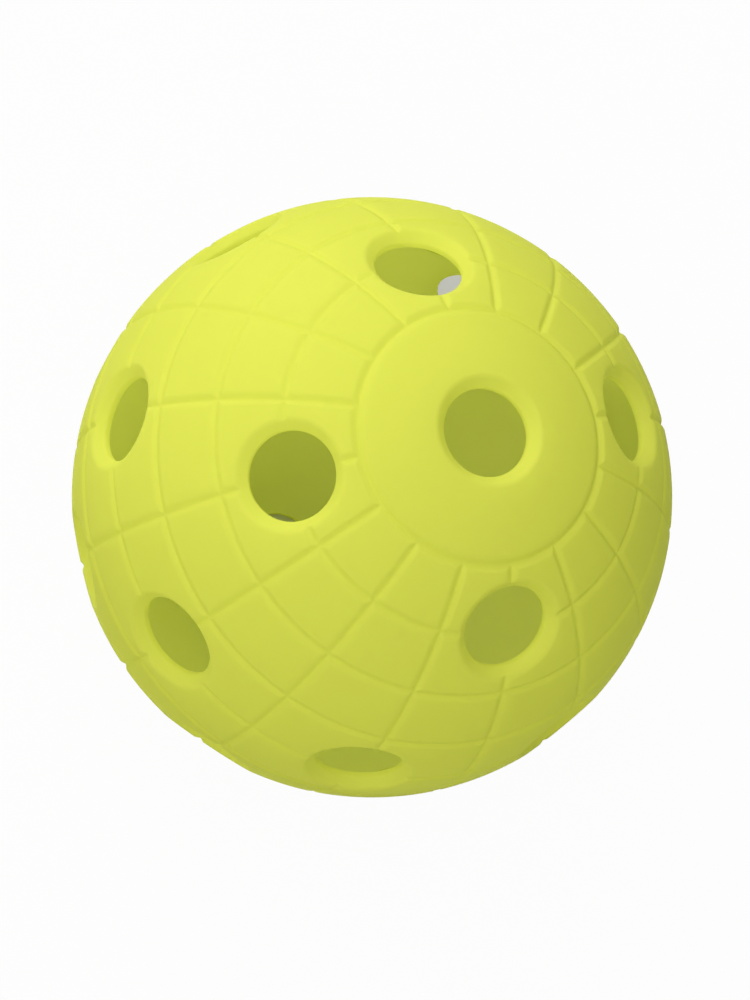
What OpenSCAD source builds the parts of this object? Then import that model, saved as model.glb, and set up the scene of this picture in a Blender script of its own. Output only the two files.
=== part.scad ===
// Floorball ball: two moulded half shells that lap at the equator and a weld bead
// inside the seam. The origin is the ball's centre and +Z runs through both pole holes.

/* [Ball] */
// Outside diameter of the ball
ball_d = 72; // [66:1:84]
// Thickness of the moulded wall
wall = 2; // [1.6:0.1:3]

/* [Holes] */
// Diameter of each through hole
hole_d = 10; // [8:0.5:11]
// How far a hole's bevelled edge reaches out over the surface
bevel_w = 1.2; // [0.8:0.1:1.6]
// How deep a hole's bevelled edge reaches into the wall
bevel_h = 1.1; // [0.7:0.1:1.2]
// Holes in the ring next to each pole
inner_holes = 4; // [3:1:5]
// Holes in the ring next to the seam, on each half
outer_holes = 8; // [4:1:9]

/* [Grooves] */
// Grooves that run from the bare polar cap to the seam
meridians = 16; // [8:4:24]
// Bands between the polar cap and the seam
bands = 5; // [4:1:5]
// Angle between the pole and the ring groove round the cap
cap_angle = 24; // [20:0.5:27]
// Width at the surface of the grooves that cross the bands
groove_w = 1.2; // [0.8:0.1:1.6]
// Depth of the grooves that run from cap to seam
meridian_depth = 0.34; // [0.24:0.02:0.38]
// Depth of the ring grooves between the bands
ring_depth = 0.3; // [0.2:0.02:0.38]
// Width at the surface of the cap's ring groove and of the seam groove
edge_w = 1.4; // [1:0.1:2]
// Depth of the cap's ring groove and of the seam groove
edge_depth = 0.4; // [0.4:0.02:0.6]

/* [Seam] */
// How far the upper half's lip reaches down inside the lower half
lap_h = 1.4; // [0.8:0.1:1.8]
// Clearance between that lip and its seat
lap_gap = 0.05; // [0.02:0.01:0.1]
// Radius of the weld bead
bead_r = 0.6; // [0.4:0.1:0.8]
// Turn of the lower half about the pole axis, in steps of one band cell
turn_steps = 3; // [0:1:15]

/* [Hidden] */
$fn = 240;
ball_r = ball_d / 2;
inner_r = ball_r - wall;
hole_r = hole_d / 2;
// The two laps share the wall equally
lap_r = ball_r - wall / 2;
band_step = (90 - cap_angle) / bands;
cell_step = 360 / meridians;
half_turn = turn_steps * cell_step;
// The hole rings sit on the second and on the last ring groove
inner_ring_angle = cap_angle + band_step;
outer_ring_angle = 90 - band_step;
// The cutters run on this many degrees past the seam
seam_overrun = 2;
// Height along a hole's axis at which its bevel meets the ball's surface
bevel_top_z = sqrt(pow(ball_r, 2) - pow(hole_r + bevel_w, 2));
// The bead's section is centred on the inner wall where the lip ends
bead_x = sqrt(pow(inner_r, 2) - pow(lap_h, 2));
plastic = [0.86, 0.90, 0.33];
weld = [0.80, 0.84, 0.30];

// Section of the wall on the positive side of the pole axis
module wall_section() {
    difference() {
        circle(ball_r);
        circle(inner_r);
        translate([-2 * ball_r, -2 * ball_r]) square([2 * ball_r, 4 * ball_r]);
    }
}

// Upper half: the wall above the seam and a lip on its inner side
module upper_section() {
    intersection() {
        wall_section();
        union() {
            square([2 * ball_r, 2 * ball_r]);
            translate([0, -lap_h]) square([lap_r - lap_gap, lap_h + wall]);
        }
    }
}

// Lower half: the wall below the seam with a seat for the lip
module lower_section() {
    difference() {
        wall_section();
        square([2 * ball_r, 2 * ball_r]);
        translate([0, -lap_h - lap_gap]) square([lap_r, lap_h + lap_gap + wall]);
    }
}

// One hole along +Z; the cone of its bevel runs on as far again above the surface
module hole() {
    rotate_extrude()
        polygon([
            [0, inner_r - wall],
            [hole_r, inner_r - wall],
            [hole_r, bevel_top_z - bevel_h],
            [hole_r + 2 * bevel_w, bevel_top_z + bevel_h],
            [0, bevel_top_z + bevel_h]
        ]);
}

// A ring of evenly spaced holes at an angle from the pole
module hole_ring(count, angle, first) {
    for (i = [0 : count - 1])
        rotate([0, angle, first + i * 360 / count]) hole();
}

// V section of a groove, with its point at the stated depth below the surface
module groove_section(width, depth) {
    polygon([[ball_r - depth, 0], [ball_r + depth, width], [ball_r + depth, -width]]);
}

// A groove round the ball at an angle from the pole
module ring_groove(angle, width, depth) {
    rotate_extrude() rotate(90 - angle) groove_section(width, depth);
}

// A groove from the cap's ring down past the seam, in the XZ plane
module meridian_groove() {
    rotate([90, 0, 0])
        rotate_extrude(angle = 90 - cap_angle + seam_overrun, start = -seam_overrun)
            groove_section(groove_w, meridian_depth);
}

// Everything that is cut from the outside of one half
module half_pattern() {
    hole();
    hole_ring(inner_holes, inner_ring_angle, 0);
    hole_ring(outer_holes, outer_ring_angle, 180 / outer_holes);
    for (i = [0 : meridians - 1])
        rotate(i * cell_step) meridian_groove();
    for (i = [1 : bands - 1])
        ring_groove(cap_angle + i * band_step, groove_w, ring_depth);
    ring_groove(cap_angle, edge_w, edge_depth);
    ring_groove(90, edge_w, edge_depth);
}

module upper_half_shell() {
    color(plastic)
        difference() {
            rotate_extrude() upper_section();
            half_pattern();
        }
}

module lower_half_shell() {
    color(plastic)
        difference() {
            rotate_extrude() lower_section();
            rotate([180, 0, half_turn]) half_pattern();
        }
}

// Melted plastic pressed out along the inner end of the lap
module weld_bead() {
    color(weld)
        rotate_extrude()
            intersection() {
                circle(inner_r);
                translate([bead_x, -lap_h]) circle(bead_r);
            }
}

upper_half_shell();
lower_half_shell();
weld_bead();
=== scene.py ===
"""Floorball ball: two welded half shells with holes and a grid of grooves, around the CAD frame."""

import logging
import math
from dataclasses import dataclass, field, fields
from enum import Enum
from typing import Any, Optional, Union

import bpy
from mathutils import Matrix, Vector


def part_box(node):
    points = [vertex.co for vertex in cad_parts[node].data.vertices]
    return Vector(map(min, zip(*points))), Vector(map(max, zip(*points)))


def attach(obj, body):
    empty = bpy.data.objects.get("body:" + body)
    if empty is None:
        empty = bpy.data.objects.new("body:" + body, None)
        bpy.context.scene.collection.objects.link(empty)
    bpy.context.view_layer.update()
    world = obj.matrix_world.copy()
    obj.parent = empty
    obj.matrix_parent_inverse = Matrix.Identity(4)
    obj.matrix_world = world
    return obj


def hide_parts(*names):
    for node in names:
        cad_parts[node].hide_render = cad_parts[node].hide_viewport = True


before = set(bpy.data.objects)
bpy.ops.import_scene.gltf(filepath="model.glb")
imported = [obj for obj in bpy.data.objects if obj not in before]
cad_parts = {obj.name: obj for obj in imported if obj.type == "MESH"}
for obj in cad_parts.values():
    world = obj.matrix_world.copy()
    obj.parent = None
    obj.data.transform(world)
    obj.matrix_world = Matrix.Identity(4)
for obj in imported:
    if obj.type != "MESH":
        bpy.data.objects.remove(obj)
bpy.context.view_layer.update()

LOG = logging.getLogger("floorball_ball")
MM = 0.001
BODY = "root"
IMAGE_SIZE = (750, 1000)
# Turn of the lower half about the pole axis: three cells of the grid
LOWER_TURN = math.radians(67.5)


class Half(Enum):
    """The two mouldings of the ball."""

    UPPER = "upper_half_shell"
    LOWER = "lower_half_shell"


class Wire:
    """The value of a node's output, on which Python's operators add nodes."""

    def __init__(self, graph: "Graph", socket: bpy.types.NodeSocket) -> None:
        """Keep the graph and the output socket."""
        self.graph = graph
        self.socket = socket

    @property
    def is_vector(self) -> bool:
        """Whether the value is a vector."""
        return self.socket.type == "VECTOR"

    def __add__(self, other: "Value") -> "Wire":
        """Add."""
        return self.graph.maths("ADD", self, other)

    def __radd__(self, other: "Value") -> "Wire":
        """Add to a plain value."""
        return self.graph.maths("ADD", other, self)

    def __sub__(self, other: "Value") -> "Wire":
        """Subtract."""
        return self.graph.maths("SUBTRACT", self, other)

    def __rsub__(self, other: "Value") -> "Wire":
        """Subtract from a plain value."""
        return self.graph.maths("SUBTRACT", other, self)

    def __mul__(self, other: "Value") -> "Wire":
        """Multiply."""
        return self.graph.maths("MULTIPLY", self, other)

    def __rmul__(self, other: "Value") -> "Wire":
        """Multiply a plain value."""
        return self.graph.maths("MULTIPLY", other, self)

    def __truediv__(self, other: "Value") -> "Wire":
        """Divide."""
        return self.graph.maths("DIVIDE", self, other)

    def __rtruediv__(self, other: "Value") -> "Wire":
        """Divide a plain value."""
        return self.graph.maths("DIVIDE", other, self)

    def __pow__(self, other: "Value") -> "Wire":
        """Raise to a power."""
        return self.graph.maths("POWER", self, other)

    def __mod__(self, other: "Value") -> "Wire":
        """Remainder."""
        return self.graph.maths("FLOORED_MODULO", self, other)

    def __neg__(self) -> "Wire":
        """Negate."""
        return self.graph.maths("MULTIPLY", self, -1.0)

    def __abs__(self) -> "Wire":
        """Absolute value."""
        return self.graph.maths("ABSOLUTE", self)

    def __gt__(self, other: "Value") -> "Wire":
        """One where the value is greater, and zero elsewhere."""
        return self.graph.maths("GREATER_THAN", self, other)

    def __lt__(self, other: "Value") -> "Wire":
        """One where the value is less, and zero elsewhere."""
        return self.graph.maths("LESS_THAN", self, other)


Value = Union[Wire, float, int, tuple]


class Graph:
    """A node tree and the ways of adding to it."""

    def __init__(self, tree: bpy.types.NodeTree) -> None:
        """Keep the tree."""
        self.tree = tree

    @staticmethod
    def _pick(sockets: Any, key: Union[str, int]) -> bpy.types.NodeSocket:
        """Find a usable socket.

        Args:
            sockets: A node's inputs or outputs.
            key: The socket's name, or its place among those that are in use.

        Returns:
            The socket.
        """
        usable = [s for s in sockets if not s.is_unavailable]
        if isinstance(key, int):
            return usable[key]
        return next(s for s in usable if s.name == key)

    def node(
        self,
        kind: str,
        settings: Optional[dict[str, Any]] = None,
        inputs: Optional[dict[Union[str, int], Any]] = None,
        output: Union[str, int] = 0,
    ) -> Wire:
        """Add a node.

        Args:
            kind: The node's type.
            settings: Its properties.
            inputs: Values or wires for its inputs, by name or place.
            output: The output that is wanted.

        Returns:
            The wire of that output.
        """
        made = self.tree.nodes.new(kind)
        for name, value in (settings or {}).items():
            setattr(made, name, value)
        for key, value in (inputs or {}).items():
            socket = self._pick(made.inputs, key)
            for one in value if isinstance(value, list) else [value]:
                if isinstance(one, Wire):
                    self.tree.links.new(one.socket, socket)
                else:
                    socket.default_value = one
        if not made.outputs:
            return Wire(self, self._pick(made.inputs, 0))
        return Wire(self, self._pick(made.outputs, output))

    def maths(self, operation: str, *values: Value) -> Wire:
        """Add a Math node, or a Vector Math node where a value is a vector.

        Args:
            operation: The node's operation.
            values: Its inputs in order.

        Returns:
            The wire of the result.
        """
        vector = any(isinstance(v, tuple) or isinstance(v, Wire) and v.is_vector for v in values)
        inputs = {}
        for place, value in enumerate(values):
            if vector and isinstance(value, (int, float)):
                value = (value, value, value)
            inputs[place] = value
        kind = "ShaderNodeVectorMath" if vector else "ShaderNodeMath"
        return self.node(kind, {"operation": operation}, inputs)

    def combine(self, x: Value, y: Value, z: Value) -> Wire:
        """Join three numbers in a vector."""
        return self.node("ShaderNodeCombineXYZ", inputs={0: x, 1: y, 2: z})

    def part(self, vector: Wire, axis: str) -> Wire:
        """Take one number of a vector."""
        return self.node("ShaderNodeSeparateXYZ", inputs={0: vector}, output=axis)

    def clamp(self, value: Wire) -> Wire:
        """Keep a number between 0 and 1."""
        return self.node("ShaderNodeClamp", inputs={"Value": value})

    def choose(self, test: Wire, no: Wire, yes: Wire) -> Wire:
        """Take one of two vectors by a test.

        Args:
            test: Zero for the first vector and one for the second.
            no: The first vector.
            yes: The second vector.

        Returns:
            The wire of the chosen vector.
        """
        return self.node(
            "GeometryNodeSwitch",
            {"input_type": "VECTOR"},
            {"Switch": test, "False": no, "True": yes},
        )


@dataclass(frozen=True)
class ShellSizes:
    """Sizes of a half shell, in metres and radians. The tree has an input for each."""

    ball_r: float
    wall: float = 2.0 * MM
    hole_r: float = 5.0 * MM
    bevel_w: float = 1.2 * MM
    bevel_h: float = 1.1 * MM
    corner_r: float = 0.42 * MM
    heel_r: float = 0.2 * MM
    hem_r: float = 0.25 * MM
    cap_angle: float = math.radians(24.0)
    groove_w: float = 1.25 * MM
    meridian_depth: float = 0.34 * MM
    ring_depth: float = 0.3 * MM
    edge_w: float = 1.45 * MM
    edge_depth: float = 0.4 * MM
    lap_h: float = 1.4 * MM
    lap_gap: float = 0.05 * MM
    side_pitch: float = 1.2 * MM
    ray_pitch: float = 1.35 * MM
    is_seat: float = 0.0
    flip: float = 0.0
    turn: float = 0.0


@dataclass(frozen=True)
class BeadSizes:
    """Sizes of the weld bead, in metres, and the share of its radius that comes and goes."""

    inner_r: float
    lap_h: float = 1.4 * MM
    bead_r: float = 0.6 * MM
    swell: float = 0.28


class SizedTree(Graph):
    """Geometry Nodes tree with a named input for each size of a piece, and one for its finish."""

    CELL = "cell"
    FINISH = "finish"
    MERGE = 0.004 * MM
    SHARP = math.radians(40.0)

    def __init__(self, name: str, sizes: type) -> None:
        """Make the tree and its inputs.

        Args:
            name: The tree's name.
            sizes: The dataclass whose fields are the tree's inputs.
        """
        super().__init__(bpy.data.node_groups.new(name, "GeometryNodeTree"))
        self.identifiers: dict[str, str] = {}
        face = self.tree.interface
        face.new_socket("Geometry", in_out="OUTPUT", socket_type="NodeSocketGeometry")
        labels = [(size.name, "NodeSocketFloat") for size in fields(sizes)]
        for label, kind in [*labels, (self.FINISH, "NodeSocketMaterial")]:
            socket = face.new_socket(label, in_out="INPUT", socket_type=kind)
            self.identifiers[label] = socket.identifier
        self.group = self.tree.nodes.new("NodeGroupInput")
        place = self.node("GeometryNodeInputPosition")
        self.column = self.part(place, "X") + 0.5
        self.row = self.part(place, "Y") + 0.5
        self.cell = self.node("GeometryNodeInputNamedAttribute", {"data_type": "FLOAT"}, {"Name": self.CELL})

    def size(self, name: str) -> Wire:
        """Read one of the tree's inputs."""
        return Wire(self, self.group.outputs[name])

    def patch(self, columns: int, rows: int, count: int) -> Wire:
        """Lay one flat grid of faces for each of a number of cells.

        Args:
            columns: Faces across a cell.
            rows: Faces along it.
            count: How many cells there are.

        Returns:
            The wire of the grids, whose points carry their cell's number.
        """
        grid = self.node(
            "GeometryNodeMeshGrid",
            inputs={"Size X": 1.0, "Size Y": 1.0, "Vertices X": columns + 1, "Vertices Y": rows + 1},
        )
        points = self.node("GeometryNodePoints", inputs={"Count": count})
        numbered = self.node(
            "GeometryNodeStoreNamedAttribute",
            {"data_type": "FLOAT", "domain": "POINT"},
            {"Geometry": points, "Name": self.CELL, "Value": self.node("GeometryNodeInputIndex")},
        )
        laid = self.node("GeometryNodeInstanceOnPoints", inputs={"Points": numbered, "Instance": grid})
        return self.node("GeometryNodeRealizeInstances", inputs={"Geometry": laid})

    def placed(self, patch: Wire, position: Wire, turned: bool = False) -> Wire:
        """Move a patch's points to their places.

        Args:
            patch: The wire of the grids.
            position: The wire of the position.
            turned: Whether the faces have to be turned over.

        Returns:
            The wire of the shaped patch.
        """
        moved = self.node("GeometryNodeSetPosition", inputs={"Geometry": patch, "Position": position})
        return self.node("GeometryNodeFlipFaces", inputs={"Mesh": moved}) if turned else moved

    def close(self, patches: list[Wire], rotation: Optional[Wire] = None) -> None:
        """Join the patches to one skin, shade it and give it its finish.

        Args:
            patches: The wires of the shaped patches.
            rotation: The turn of the whole piece about the origin.
        """
        skin = self.node("GeometryNodeJoinGeometry", inputs={"Geometry": patches})
        skin = self.node("GeometryNodeMergeByDistance", inputs={"Geometry": skin, "Distance": self.MERGE})
        if rotation is not None:
            skin = self.node("GeometryNodeTransform", inputs={"Geometry": skin, "Rotation": rotation})
        skin = self.node("GeometryNodeRemoveAttribute", inputs={"Geometry": skin, "Name": self.CELL})
        angle = self.node("GeometryNodeInputMeshEdgeAngle", output="Unsigned Angle")
        skin = self.node("GeometryNodeSetShadeSmooth", {"domain": "FACE"}, {"Geometry": skin, "Shade Smooth": True})
        skin = self.node(
            "GeometryNodeSetShadeSmooth",
            {"domain": "EDGE"},
            {"Geometry": skin, "Selection": angle > self.SHARP, "Shade Smooth": False},
        )
        skin = self.node("GeometryNodeRealizeInstances", inputs={"Geometry": skin})
        finish = self.size(self.FINISH)
        skin = self.node("GeometryNodeSetMaterial", inputs={"Geometry": skin, "Material": finish})
        self.node("NodeGroupOutput", inputs={"Geometry": skin})

    def mesh(self, name: str, sizes: Any, material: bpy.types.Material) -> bpy.types.Object:
        """Run the tree and keep its result as a plain mesh.

        Args:
            name: The new object's name.
            sizes: The dataclass with the values of the tree's inputs.
            material: The finish.

        Returns:
            The object, at the origin and without modifiers.
        """
        made = bpy.data.objects.new(name, bpy.data.meshes.new(name))
        bpy.context.scene.collection.objects.link(made)
        modifier = made.modifiers.new(name, "NODES")
        modifier.node_group = self.tree
        for size in fields(sizes):
            modifier[self.identifiers[size.name]] = getattr(sizes, size.name)
        modifier[self.identifiers[self.FINISH]] = material
        evaluated = made.evaluated_get(bpy.context.evaluated_depsgraph_get())
        result = bpy.data.meshes.new_from_object(evaluated)
        made.modifiers.clear()
        made.data = result
        result.name = name
        return made


class BeadTree(SizedTree):
    """Geometry Nodes tree of the weld bead: a round section swept along the inside of the seam."""

    ROUND_STEPS = 480
    SECTION_STEPS = 14

    def __init__(self) -> None:
        """Make the tree."""
        super().__init__("weld_bead", BeadSizes)
        inner_r, drop = self.size("inner_r"), self.size("lap_h")
        phi = self.column * (2 * math.pi)
        psi = self.row * (2 * math.pi)
        ring = self.combine(self.maths("COSINE", phi), self.maths("SINE", phi), 0.0)
        lumps = self.node(
            "ShaderNodeTexNoise", {"noise_dimensions": "3D"}, {"Vector": ring, "Scale": 9.0, "Detail": 2.0}
        )
        section_r = self.size("bead_r") * (1 - self.size("swell") * self.clamp(lumps))
        out = self.maths("SQRT", inner_r * inner_r - drop * drop) + section_r * self.maths("COSINE", psi)
        raw = ring * out + self.combine(0.0, 0.0, section_r * self.maths("SINE", psi) - drop)
        reach = self.maths("MINIMUM", self.maths("LENGTH", raw), inner_r)
        patch = self.patch(self.ROUND_STEPS, self.SECTION_STEPS, 1)
        self.close([self.placed(patch, self.maths("NORMALIZE", raw) * reach)])


class ShellTree(SizedTree):
    """Geometry Nodes tree of one half shell.

    The wall is laid out cell by cell on the grid of grooves. Each hole sits on a crossing, and
    fans of faces run from the sides of its four cells over the hole's bevel, through the wall and
    back along the inside. Plain cells, the polar cap and the lapped seam fill the rest.
    """

    BANDS = 5
    MERIDIANS = 16
    INNER_HOLES = 4
    OUTER_HOLES = 8
    INNER_RING = 1
    OUTER_RING = 4
    SIDE_STEPS = 20
    RAY_STEPS = 11
    CORNER_STEPS = 3
    SLOPE_STEPS = 3
    BEVEL_END = RAY_STEPS + 2 * CORNER_STEPS + SLOPE_STEPS
    HEM_STEPS = 2
    INSIDE_STEPS = 4
    FAN_STEPS = BEVEL_END + 1 + HEM_STEPS + INSIDE_STEPS
    SEAM_STEPS = 5
    BLEND = 0.04 * MM
    BOTTOM = 0.15

    def __init__(self) -> None:
        """Make the tree."""
        super().__init__("half_shell", ShellSizes)
        self.ball_r = self.size("ball_r")
        self.inner_r = self.ball_r - self.size("wall")
        self.step = (math.pi / 2 - self.size("cap_angle")) / self.BANDS
        self.arc = 2 * math.pi / self.MERIDIANS
        patches = [self.hole_fans(), self.cap_fan(), *self.plain_cells(), self.seam()]
        self.close(patches, self.combine(self.size("flip"), 0.0, self.size("turn")))

    def direction(self, theta: Wire, phi: Wire) -> Wire:
        """Point on the unit sphere.

        Args:
            theta: Angle from the pole.
            phi: Angle round the pole axis.

        Returns:
            The wire of the unit vector.
        """
        rise = self.maths("SINE", theta)
        return self.combine(
            rise * self.maths("COSINE", phi),
            rise * self.maths("SINE", phi),
            self.maths("COSINE", theta),
        )

    def ring_angle(self, ring: Value) -> Wire:
        """Angle from the pole of a ring groove."""
        return self.size("cap_angle") + self.step * ring

    def share(self, x: Wire, length: Wire) -> Wire:
        """Spread the steps along a cell's side, close together at its grooved ends.

        Args:
            x: The step's number over the count of steps.
            length: The side's length.

        Returns:
            The wire of the step's share of the side.
        """
        near = 1 - abs(2 * x - 1)
        pitch = self.size("side_pitch")
        reach = pitch * near + (length / 2 - pitch) * near**3
        return 0.5 + self.maths("SIGN", x - 0.5) * (0.5 - reach / length)

    def ring_share(self, x: Wire, ring: Value) -> Wire:
        """Spread the steps along the part of a ring groove between two meridians."""
        return self.share(x, self.ball_r * self.maths("SINE", self.ring_angle(ring)) * self.arc)

    def vee(self, gap: Wire, width: Wire) -> Wire:
        """Depth of a V groove with a slightly rounded bottom, as a share of its full depth.

        Args:
            gap: Distance from the groove's middle.
            width: The groove's width.

        Returns:
            The wire of the share.
        """
        beside = self.maths("MINIMUM", 2 * gap / width, 1.0)
        rim = math.hypot(1.0, self.BOTTOM)
        return (rim - self.maths("SQRT", beside * beside + self.BOTTOM**2)) / (rim - self.BOTTOM)

    def groove(self, point: Wire) -> Wire:
        """Depth of the grooves at a point.

        Args:
            point: A unit vector.

        Returns:
            The wire of the depth below the ball's surface.
        """
        theta = self.maths("ARCCOSINE", self.part(point, "Z"))
        phi = self.maths("ARCTAN2", self.part(point, "Y"), self.part(point, "X"))
        ring = (theta - self.size("cap_angle")) / self.step
        nearest = self.maths("MINIMUM", self.maths("MAXIMUM", self.maths("ROUND", ring), 0.0), float(self.BANDS))
        edge = abs(nearest - self.BANDS / 2) > self.BANDS / 2 - 0.5
        width = self.size("groove_w") + (self.size("edge_w") - self.size("groove_w")) * edge
        depth = self.size("ring_depth") + (self.size("edge_depth") - self.size("ring_depth")) * edge
        ring_cut = depth * self.vee(abs(ring - nearest) * self.step * self.ball_r, width)
        count = phi / self.arc
        aside = abs(count - self.maths("ROUND", count)) * self.arc * self.ball_r * self.maths("SINE", theta)
        meridian_cut = self.size("meridian_depth") * self.vee(aside, self.size("groove_w")) * (ring > 0.0)
        return self.maths("SMOOTH_MAX", ring_cut, meridian_cut, self.BLEND)

    def outside(self, raw: Wire) -> Wire:
        """Sink a point of the outer surface into the grooves.

        Args:
            raw: A point on or below the ball's surface.

        Returns:
            The wire of the point, no higher than the grooves leave it.
        """
        unit = self.maths("NORMALIZE", raw)
        high = self.maths("MINIMUM", self.maths("LENGTH", raw), self.ball_r - self.groove(unit))
        return unit * high

    def curve(self, t: Wire, start: Value, bend: Value, end: Value) -> Wire:
        """Quadratic curve through one number.

        Args:
            t: Place along the curve from 0 to 1.
            start: Value at its start.
            bend: Value at its control point.
            end: Value at its end.

        Returns:
            The wire of the value.
        """
        back = 1 - t
        return start * back * back + 2 * bend * back * t + end * t * t

    def inside_theta(self, theta: Wire) -> Wire:
        """Draw in the last band of the inner wall where the half has a seat at the seam."""
        last = self.ring_angle(self.OUTER_RING)
        seat = self.maths("ARCSINE", (self.size("lap_h") + self.size("lap_gap")) / self.inner_r)
        squeeze = (math.pi / 2 - seat * self.size("is_seat") - last) / (math.pi / 2 - last)
        past = self.maths("MAXIMUM", theta - last, 0.0)
        return theta - past + past * squeeze

    def rise(self, sphere_r: Wire, radius: Wire) -> Wire:
        """Height on a sphere at a distance from its axis."""
        return self.maths("SQRT", sphere_r * sphere_r - radius * radius)

    def bevel(self, count: Wire) -> tuple[Wire, Wire]:
        """Section of a hole's bevelled edge: a rounded corner, the slope and another corner.

        Args:
            count: Number of the step along the fan.

        Returns:
            The wires of the distance from the hole's axis and of the height along it.
        """
        width, drop = self.size("bevel_w"), self.size("bevel_h")
        corner, heel = self.size("corner_r"), self.size("heel_r")
        slope = self.maths("SQRT", width * width + drop * drop)
        run_r, run_z = width / slope, drop / slope
        top_r = self.size("hole_r") + width
        top_z = self.rise(self.ball_r, top_r)
        start_z = self.rise(self.ball_r, top_r + corner)
        t = self.clamp((count - self.RAY_STEPS) / self.CORNER_STEPS)
        u = self.clamp((count - self.RAY_STEPS - self.CORNER_STEPS) / self.SLOPE_STEPS)
        v = self.clamp((count - self.BEVEL_END) / self.CORNER_STEPS + 1)
        straight = u * (slope - corner - heel)
        radius = self.curve(t, top_r + corner, top_r, top_r - run_r * corner) - run_r * straight
        height = self.curve(t, start_z, top_z, top_z - run_z * corner) - run_z * straight
        in_r, in_z = -(run_r * heel), -(run_z * heel)
        return radius + self.curve(v, 0.0, in_r, in_r), height + self.curve(v, 0.0, in_z, in_z - heel)

    def fan(self, axis: Wire, theta: Wire, phi: Wire) -> Wire:
        """Place a fan of faces from a cell's side, over a hole's bevel and back along the inside.

        Args:
            axis: Unit vector along the hole.
            theta: Angle from the pole of the point on the cell's side.
            phi: Angle round the pole axis of that point.

        Returns:
            The wire of the position.
        """
        count = self.maths("ROUND", self.row * self.FAN_STEPS)
        hem_end = self.BEVEL_END + 1 + self.HEM_STEPS
        hole_r = self.size("hole_r")
        rays = []
        for far in (self.direction(theta, phi), self.direction(self.inside_theta(theta), phi)):
            along = self.maths("DOT_PRODUCT", far, axis)
            across = far - axis * along
            angle = self.maths("ARCTAN2", self.maths("LENGTH", across), along)
            rays.append((self.maths("NORMALIZE", across), angle))
        (out, out_angle), (back, back_angle) = rays

        rim_r = hole_r + self.size("bevel_w") + self.size("corner_r")
        length = self.ball_r * (out_angle - self.maths("ARCSINE", rim_r / self.ball_r))
        x = self.clamp(count / self.RAY_STEPS)
        pitch = self.size("ray_pitch")
        angle = out_angle - (pitch * x + (length - pitch) * x**3) / self.ball_r
        ray = (axis * self.maths("COSINE", angle) + out * self.maths("SINE", angle)) * self.ball_r
        radius, height = self.bevel(count)
        edge = out * radius + axis * height
        skin = self.outside(self.choose(count > self.RAY_STEPS + 0.5, ray, edge))

        t = self.clamp((count - self.BEVEL_END - 1) / self.HEM_STEPS)
        hem = self.size("hem_r")
        hem_r = hole_r + hem
        hem_z = self.rise(self.inner_r, hem_r)
        foot_z = self.rise(self.inner_r, hole_r)
        hem_point = out * self.curve(t, hole_r, hole_r, hem_r) + axis * self.curve(t, foot_z + hem, foot_z, hem_z)

        t = self.clamp((count - hem_end) / self.INSIDE_STEPS)
        hem_angle = self.maths("ARCSINE", hem_r / self.inner_r)
        angle = hem_angle + (back_angle - hem_angle) * t
        inside = (axis * self.maths("COSINE", angle) + back * self.maths("SINE", angle)) * self.inner_r

        bored = self.choose(count > self.BEVEL_END + 0.5, skin, hem_point)
        return self.choose(count > hem_end + 0.5, bored, inside)

    def hole_fans(self) -> Wire:
        """Fans round the holes of both rings, four cells to a hole."""
        hole = self.maths("FLOOR", self.cell / 4)
        quarter = (self.cell % 4.0 + 0.5) * (math.pi / 2)
        east = self.maths("SIGN", self.maths("COSINE", quarter))
        south = self.maths("SIGN", self.maths("SINE", quarter))
        outer = hole > self.INNER_HOLES - 0.5
        inner_meridian = hole * (self.MERIDIANS // self.INNER_HOLES)
        outer_meridian = 2 * (hole - self.INNER_HOLES) + 1
        meridian = inner_meridian + (outer_meridian - inner_meridian) * outer
        ring = self.INNER_RING + (self.OUTER_RING - self.INNER_RING) * outer
        s = 0.5 + (self.column - 0.5) * east * south
        first = s < 0.5
        along = self.share(self.maths("MINIMUM", 2 * s, 1.0), self.ball_r * self.step)
        across = self.ring_share(self.maths("MINIMUM", 2 - 2 * s, 1.0), ring + south)
        theta = self.ring_angle(ring + south * (1 + (along - 1) * first))
        phi = self.arc * (meridian + east * (across + (1 - across) * first))
        axis = self.direction(self.ring_angle(ring), self.arc * meridian)
        count = 4 * (self.INNER_HOLES + self.OUTER_HOLES)
        patch = self.patch(2 * self.SIDE_STEPS, self.FAN_STEPS, count)
        return self.placed(patch, self.fan(axis, theta, phi), turned=True)

    def cap_fan(self) -> Wire:
        """Fan round the pole hole, out to the ring groove of the bare cap."""
        phi = self.arc * (self.cell + self.ring_share(self.column, 0.0))
        axis = self.combine(0.0, 0.0, 1.0)
        patch = self.patch(self.SIDE_STEPS, self.FAN_STEPS, self.MERIDIANS)
        return self.placed(patch, self.fan(axis, self.ring_angle(0.0), phi))

    def plain_cells(self) -> list[Wire]:
        """Outer and inner skins of the cells that no hole cuts."""
        beside = self.MERIDIANS
        late = self.cell > beside - 0.5
        pair = self.maths("FLOOR", self.cell / 2)
        early_column = 4 * self.maths("FLOOR", pair / 2) + 1 + pair % 2.0
        column = early_column + (self.cell - beside - early_column) * late
        early_band = self.cell % 2.0
        band = early_band + (2 - early_band) * late
        down = self.share(self.row, self.ball_r * self.step)
        high = self.ring_share(self.column, band)
        low = self.ring_share(self.column, band + 1)
        unit = self.direction(self.ring_angle(band + down), self.arc * (column + high + (low - high) * down))
        patch = self.patch(self.SIDE_STEPS, self.SIDE_STEPS, 2 * beside)
        return [
            self.placed(patch, self.outside(unit * self.ball_r), turned=True),
            self.placed(patch, unit * self.inner_r),
        ]

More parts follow.
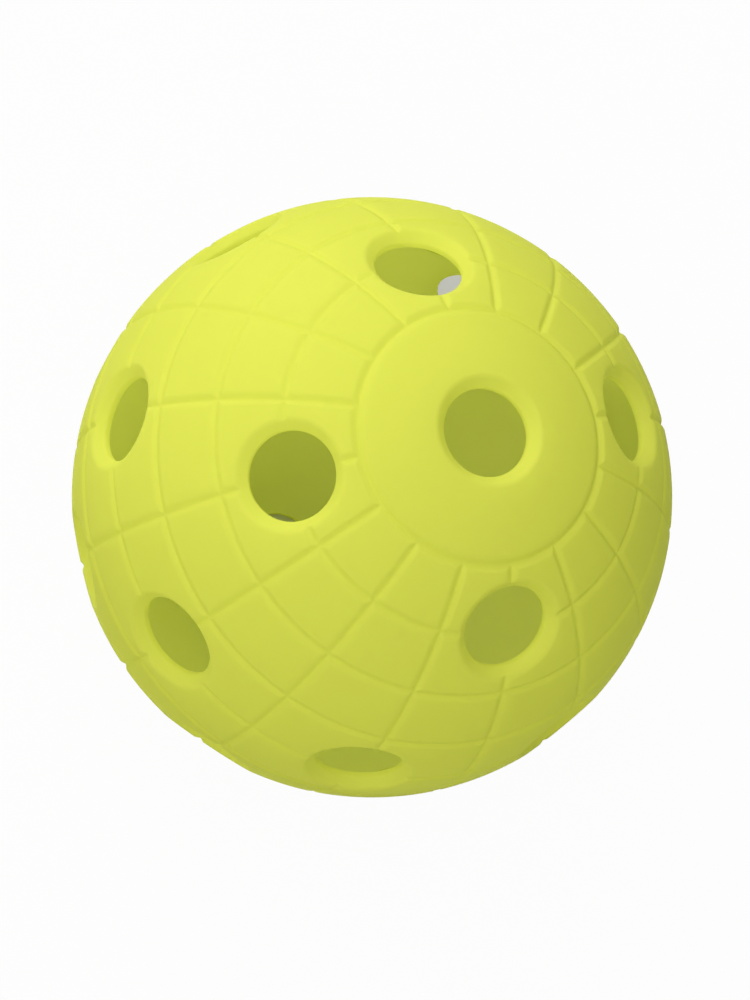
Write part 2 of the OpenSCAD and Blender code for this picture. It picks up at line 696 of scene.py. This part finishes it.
    def seam(self) -> Wire:
        """Faces of the lap at the seam, from the seam groove to the inner wall."""
        phi = self.arc * (self.cell + self.ring_share(self.column, float(self.BANDS)))
        count = self.maths("ROUND", self.row * self.SEAM_STEPS)
        seat = self.size("is_seat")
        drop = self.size("lap_h") * (2 * seat - 1) + self.size("lap_gap") * seat
        lap_r = self.ball_r - self.size("wall") / 2 - self.size("lap_gap") * (1 - seat)
        foot_r = self.maths("SQRT", self.inner_r * self.inner_r - drop * drop)
        groove_r = self.ball_r - self.size("edge_depth")
        end_z = drop * seat
        end_r = foot_r * seat + self.inner_r * (1 - seat)
        half_z = (drop + end_z) / 2
        half_r = self.maths("SQRT", self.inner_r * self.inner_r - half_z * half_z)
        radius, height = groove_r, 0.0
        profile = [(lap_r, 0.0), (lap_r, drop), (foot_r, drop), (half_r, half_z), (end_r, end_z)]
        for place, (r, z) in enumerate(profile):
            past = count > place + 0.5
            radius = radius + (r - radius) * past
            height = height + (z - height) * past
        ring = self.combine(radius * self.maths("COSINE", phi), radius * self.maths("SINE", phi), height)
        return self.placed(self.patch(self.SIDE_STEPS, self.SEAM_STEPS, self.MERIDIANS), ring, turned=True)


def node_material(name: str) -> tuple[bpy.types.Material, Graph]:
    """Make an empty material.

    Args:
        name: Its name.

    Returns:
        The material and the graph of its nodes.
    """
    made = bpy.data.materials.new(name)
    made.use_nodes = True
    made.node_tree.nodes.clear()
    return made, Graph(made.node_tree)


def noise(g: Graph, place: Wire, size: float, detail: float) -> Wire:
    """Add a noise texture.

    Args:
        g: The material's graph.
        place: The wire of the position.
        size: Size of the marks in metres.
        detail: How many finer layers it has.

    Returns:
        The wire of the noise, about 0.5.
    """
    return g.node("ShaderNodeTexNoise", inputs={"Vector": place, "Scale": 1 / size, "Detail": detail}, output="Fac")


@dataclass(frozen=True)
class MouldedPlastic:
    """Satin moulded plastic with faint clouds and a fine tool texture, duller in its grooves, where a faint shade
    is painted into the colour.

    The wall is thin, so a share of the light comes through it. Its inner wall is painted paler than the outside, as
    painted light inside the ball.
    """

    CLOUD_SIZE = 14.0 * MM
    GRAIN_SIZE = 0.4 * MM
    PEEL_SIZE = 1.6 * MM
    GROOVE_MM = 0.4
    GROOVE_END_MM = 0.42
    GROOVE_FADE_MM = 0.2
    # Where the inner wall starts, for its painted paler colour and its rougher finish.
    INNER_START_MM = 0.12
    INNER_FADE_MM = 0.1
    MOTTLE_SHARE = 0.3
    # Share of the deep colour painted into the grooves as shade.
    PAINTED_GROOVE_SHADE = 0.02

    name: str
    colour: tuple[float, float, float]
    # Colour of the random mottle, and of the faint shade painted into the grooves.
    deep_colour: tuple[float, float, float]
    painted_inner_light_colour: tuple[float, float, float]
    glow_colour: tuple[float, float, float]
    glow: float
    roughness: float
    ball_r: float
    wall: float

    def material(self) -> bpy.types.Material:
        """Make the material's nodes."""
        made, g = node_material(self.name)
        place = g.node("ShaderNodeTexCoord", output="Object")
        depth = (self.ball_r - g.maths("LENGTH", place)) / MM
        below = g.clamp((depth - self.GROOVE_END_MM) / self.GROOVE_FADE_MM)
        in_groove = g.clamp(depth / self.GROOVE_MM) * (1 - below)
        # Mask of the inner wall, which is painted paler as light inside the ball, and made rougher.
        inner_painted_light_and_roughness = g.clamp((depth - self.wall / MM + self.INNER_START_MM) / self.INNER_FADE_MM)
        clouds = noise(g, place, self.CLOUD_SIZE, 3.0)
        grain = noise(g, place, self.GRAIN_SIZE, 2.0)
        peel = noise(g, place, self.PEEL_SIZE, 1.0)
        mottle = g.clamp(0.5 + (clouds - 0.5) * 0.9 + (grain - 0.5) * 0.3)
        # Random mottle, plus a faint painted shade in the grooves, both toward the deep colour.
        mottle_and_groove_shade = g.clamp(mottle * self.MOTTLE_SHARE + in_groove * self.PAINTED_GROOVE_SHADE)
        skin = self._mix(g, mottle_and_groove_shade, (*self.colour, 1.0), (*self.deep_colour, 1.0))
        # The inner wall is painted paler: painted light inside the hollow ball.
        base = self._mix(g, inner_painted_light_and_roughness, skin, (*self.painted_inner_light_colour, 1.0))
        bump = g.node(
            "ShaderNodeBump",
            inputs={"Strength": 0.22, "Distance": 0.05 * MM, "Height": grain * 0.6 + peel * 0.9},
        )
        shader = g.node(
            "ShaderNodeBsdfPrincipled",
            inputs={
                "Base Color": base,
                "Roughness": self.roughness + (clouds - 0.5) * 0.12 + in_groove * 0.08 + inner_painted_light_and_roughness * 0.1,
                "IOR": 1.5,
                "Specular IOR Level": 0.06,
                "Normal": bump,
            },
        )
        through = g.node("ShaderNodeBsdfTranslucent", inputs={"Color": (*self.glow_colour, 1.0)})
        thin = g.node("ShaderNodeMixShader", inputs={0: self.glow, 1: shader, 2: through})
        g.node("ShaderNodeOutputMaterial", inputs={"Surface": thin})
        return made

    @staticmethod
    def _mix(g: Graph, share: Wire, first: Any, second: Any) -> Wire:
        """Mix two colours by a share."""
        return g.node(
            "ShaderNodeMix", {"data_type": "RGBA"}, {"Factor": share, "A": first, "B": second}, output="Result"
        )


@dataclass(frozen=True)
class MeltedPlastic:
    """Plastic that melted and set again: glossier, deeper in colour and rippled."""

    STREAK_SIZE = 3.0 * MM
    RIPPLE_SIZE = 0.7 * MM

    name: str
    colour: tuple[float, float, float]
    deep_colour: tuple[float, float, float]
    roughness: float

    def material(self) -> bpy.types.Material:
        """Make the material's nodes."""
        made, g = node_material(self.name)
        place = g.node("ShaderNodeTexCoord", output="Object")
        streaks = noise(g, place, self.STREAK_SIZE, 2.0)
        ripple = noise(g, place, self.RIPPLE_SIZE, 1.0)
        base = g.node(
            "ShaderNodeMix",
            {"data_type": "RGBA"},
            {"Factor": g.clamp(streaks * 1.6 - 0.3), "A": (*self.colour, 1.0), "B": (*self.deep_colour, 1.0)},
            output="Result",
        )
        bump = g.node("ShaderNodeBump", inputs={"Strength": 0.4, "Distance": 0.1 * MM, "Height": ripple})
        shader = g.node(
            "ShaderNodeBsdfPrincipled",
            inputs={
                "Base Color": base,
                "Roughness": self.roughness + (ripple - 0.5) * 0.2,
                "IOR": 1.5,
                "Normal": bump,
            },
        )
        g.node("ShaderNodeOutputMaterial", inputs={"Surface": shader})
        return made


def dress(piece: bpy.types.Object, node: str) -> None:
    """Put a piece in its CAD node's place.

    Args:
        piece: The piece.
        node: The node that it stands for.
    """
    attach(piece, BODY)
    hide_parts(node)
    LOG.info("%s: %d faces", piece.name, len(piece.data.polygons))


@dataclass
class HalfShell:
    """One moulded half of the ball."""

    half: Half
    sizes: ShellSizes
    slot: str = "ball_plastic"
    piece: bpy.types.Object = field(init=False, repr=False)

    def build(self, tree: ShellTree, material: bpy.types.Material) -> None:
        """Make the half's mesh.

        Args:
            tree: The tree that both halves share.
            material: The plastic's material.
        """
        self.piece = tree.mesh("moulded_" + self.half.value, self.sizes, material)

    def dress(self) -> None:
        """Put the half in its node's place."""
        dress(self.piece, self.half.value)


@dataclass
class WeldBead:
    """The bead of melted plastic along the inside of the seam."""

    sizes: BeadSizes
    node: str = "weld_bead"
    slot: str = "weld_plastic"
    piece: bpy.types.Object = field(init=False, repr=False)

    def build(self, material: bpy.types.Material) -> None:
        """Make the bead's mesh in the given material."""
        self.piece = BeadTree().mesh("uneven_" + self.node, self.sizes, material)

    def dress(self) -> None:
        """Put the bead in its node's place."""
        dress(self.piece, self.node)


@dataclass(frozen=True)
class SoftLamp:
    """A square lamp that faces the ball: its direction from the ball, its power in watts, and sizes."""

    name: str
    toward: tuple[float, float, float]
    power: float
    side: float = 0.5
    distance: float = 0.7

    def hang(self) -> None:
        """Put the lamp in the scene."""
        data = bpy.data.lights.new(self.name, "AREA")
        data.shape = "SQUARE"
        data.size = self.side
        data.energy = self.power
        made = bpy.data.objects.new(self.name, data)
        bpy.context.scene.collection.objects.link(made)
        toward = Vector(self.toward).normalized()
        made.location = toward * self.distance
        made.rotation_euler = toward.to_track_quat("Z", "Y").to_euler()


@dataclass(frozen=True)
class BrightSide:
    """A side of the studio that gives soft light: its direction from the ball, strength and focus."""

    toward: tuple[float, float, float]
    strength: float
    focus: float = 1.0


@dataclass(frozen=True)
class Viewpoint:
    """The photograph's line of sight: the view's axes, its distance, and its scale and offset in pixels."""

    right: tuple[float, float, float] = (-0.90231, 0.22960, 0.36486)
    up: tuple[float, float, float] = (-0.16160, -0.96480, 0.20750)
    back: tuple[float, float, float] = (0.39966, 0.12827, 0.90765)
    distance: float = 348.4 * MM
    focal_px: float = 2891.5
    offset_px: tuple[float, float] = (2.98, -2.73)
    sensor_width: float = 36.0

    def camera(self) -> None:
        """Put the camera in the scene."""
        data = bpy.data.cameras.new("camera")
        data.sensor_fit = "HORIZONTAL"
        data.sensor_width = self.sensor_width
        data.lens = self.focal_px * self.sensor_width / IMAGE_SIZE[0]
        data.shift_x = self.offset_px[0] / IMAGE_SIZE[0]
        data.shift_y = self.offset_px[1] / IMAGE_SIZE[0]
        data.clip_start = 0.01
        made = bpy.data.objects.new("camera", data)
        bpy.context.scene.collection.objects.link(made)
        turn = Matrix((self.right, self.up, self.back)).transposed().to_4x4()
        made.matrix_world = Matrix.Translation(Vector(self.back) * self.distance) @ turn
        bpy.context.scene.camera = made


@dataclass
class Studio:
    """Pale floor, soft light and the camera."""

    floor_z: float
    lamps: list[SoftLamp]
    bright_sides: list[BrightSide]
    fill: float
    floor_side: float = 6.0
    floor_shade: float = 0.65
    floor_white: float = 0.96
    shade_centre: tuple[float, float] = (-18.9 * MM, -6.1 * MM)
    shade_r: float = 33.0 * MM
    shade_soft: float = 2.5 * MM
    viewpoint: Viewpoint = Viewpoint()

    def build(self) -> None:
        """Set up everything around the ball."""
        self.floor()
        self.world()
        for lamp in self.lamps:
            lamp.hang()
        self.viewpoint.camera()
        bpy.context.scene.view_settings.view_transform = "Standard"

    def floor(self) -> None:
        """Lay the floor, which shows white around the ball and keeps its shadow."""
        half = self.floor_side / 2
        mesh = bpy.data.meshes.new("floor")
        corners = [(-half, -half), (half, -half), (half, half), (-half, half)]
        mesh.from_pydata([(x, y, self.floor_z) for x, y in corners], [], [(0, 1, 2, 3)])
        made = bpy.data.objects.new("floor", mesh)
        bpy.context.scene.collection.objects.link(made)
        material, g = node_material("floor_paper")
        matte = g.node("ShaderNodeBsdfDiffuse", inputs={"Color": (*[self.floor_shade] * 3, 1.0)})
        white = g.node("ShaderNodeEmission", inputs={"Color": (1.0, 1.0, 1.0, 1.0), "Strength": 1.0})
        place = g.node("ShaderNodeTexCoord", output="Object")
        away = g.maths("LENGTH", place - (*self.shade_centre, self.floor_z))
        open_floor = g.clamp((away - self.shade_r) / self.shade_soft) * self.floor_white
        mixed = g.node("ShaderNodeMixShader", inputs={0: self._seen(g) * open_floor, 1: matte, 2: white})
        g.node("ShaderNodeOutputMaterial", inputs={"Surface": mixed})
        mesh.materials.append(material)

    @staticmethod
    def _seen(g: Graph) -> Wire:
        """One for rays that show the background, but not for light that spreads through plastic."""
        seen, gloss, through, spread = (
            g.node("ShaderNodeLightPath", output=f"Is {ray} Ray")
            for ray in ("Camera", "Glossy", "Transmission", "Diffuse")
        )
        return g.maths("MAXIMUM", g.maths("MAXIMUM", seen, gloss), through * (1 - spread))

    def world(self) -> None:
        """Fill the room with soft light that fades away from its bright sides."""
        world = bpy.data.worlds.new("studio")
        bpy.context.scene.world = world
        world.use_nodes = True
        world.node_tree.nodes.clear()
        g = Graph(world.node_tree)
        toward = g.node("ShaderNodeTexCoord", output="Generated")
        level = self.fill
        for side in self.bright_sides:
            facing = g.maths("DOT_PRODUCT", toward, side.toward)
            level = level + g.maths("MAXIMUM", facing, 0.0) ** side.focus * side.strength
        fill = g.node("ShaderNodeBackground", inputs={"Color": (1.0, 1.0, 1.0, 1.0), "Strength": level})
        white = g.node("ShaderNodeBackground", inputs={"Color": (1.0, 1.0, 1.0, 1.0), "Strength": 1.0})
        mixed = g.node("ShaderNodeMixShader", inputs={0: self._seen(g), 1: fill, 2: white})
        g.node("ShaderNodeOutputWorld", inputs={"Surface": mixed})


def main() -> None:
    """Build the ball and the studio."""
    logging.basicConfig(level=logging.INFO, format="%(message)s")
    low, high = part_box(Half.UPPER.value)
    ball_r = (high.x - low.x) / 2
    upper = HalfShell(Half.UPPER, ShellSizes(ball_r))
    lower = HalfShell(Half.LOWER, ShellSizes(ball_r, is_seat=1.0, flip=math.pi, turn=LOWER_TURN))
    wall = upper.sizes.wall
    lime = MouldedPlastic(
        name="lime_plastic",
        colour=(0.925, 0.945, 0.146),
        # Colour of the mottle and of the faint painted shade in the grooves.
        deep_colour=(0.815, 0.845, 0.112),
        # Paler inside: painted light in the hollow of the ball.
        painted_inner_light_colour=(0.91, 0.95, 0.36),
        glow_colour=(0.915, 0.95, 0.38),
        glow=0.5,
        roughness=0.55,
        ball_r=ball_r,
        wall=wall,
    )
    weld = MeltedPlastic(
        name="melted_lime_plastic",
        colour=(0.72, 0.80, 0.085),
        deep_colour=(0.62, 0.70, 0.06),
        roughness=0.36,
    )
    tree, material = ShellTree(), lime.material()
    for half in (upper, lower):
        half.build(tree, material)
        half.dress()
    bead = WeldBead(BeadSizes(ball_r - wall))
    bead.build(weld.material())
    bead.dress()
    lamps = [
        SoftLamp("key_lamp", toward=(0.358, -0.734, 0.579), power=0.69),
        SoftLamp("top_lamp", toward=(0.081, -0.941, 0.327), power=2.47),
    ]
    sides = [
        BrightSide((0.400, 0.128, 0.908), 0.45),
        BrightSide((0.400, 0.128, 0.908), 1.11, focus=4.0),
        BrightSide((0.921, -0.072, 0.384), 0.30),
    ]
    Studio(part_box(Half.LOWER.value)[0].z, lamps, sides, fill=0.01).build()


if __name__ == "__main__":
    main()
